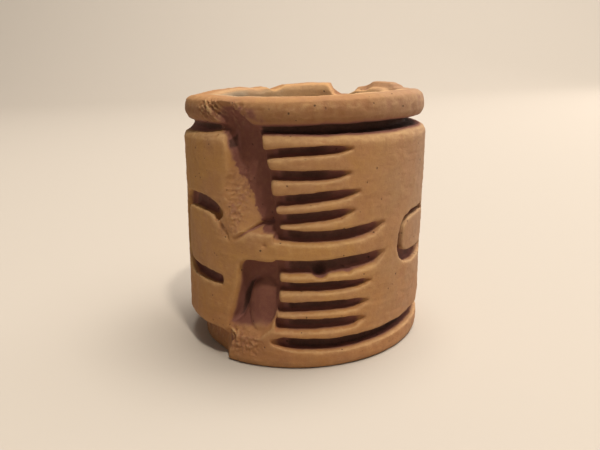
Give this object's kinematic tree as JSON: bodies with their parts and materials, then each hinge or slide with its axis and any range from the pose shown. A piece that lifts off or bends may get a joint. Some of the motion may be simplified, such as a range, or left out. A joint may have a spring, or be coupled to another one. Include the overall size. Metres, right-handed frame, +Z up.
{
  "type": "cylinder seal",
  "caption": "Hollow fired-clay roller seal: a short tube with a raised collar and foot band, carved with comb cuts, gouged hollows and eye-shaped lines.",
  "frame": {"origin": "middle of the footprint, on the surface that the seal stands on", "axes": "+Z up; -Y faces the best carved side; the bore leans 2.5 degrees from +Z towards +X"},
  "size_m": [0.0464, 0.045, 0.046],
  "materials": {
    "fired_clay": "matt fired clay, tan to ochre, with reddish-brown earth left in the cuts"
  },
  "bodies": {
    "root": {"seal": "fired_clay"}
  },
  "joints": []
}
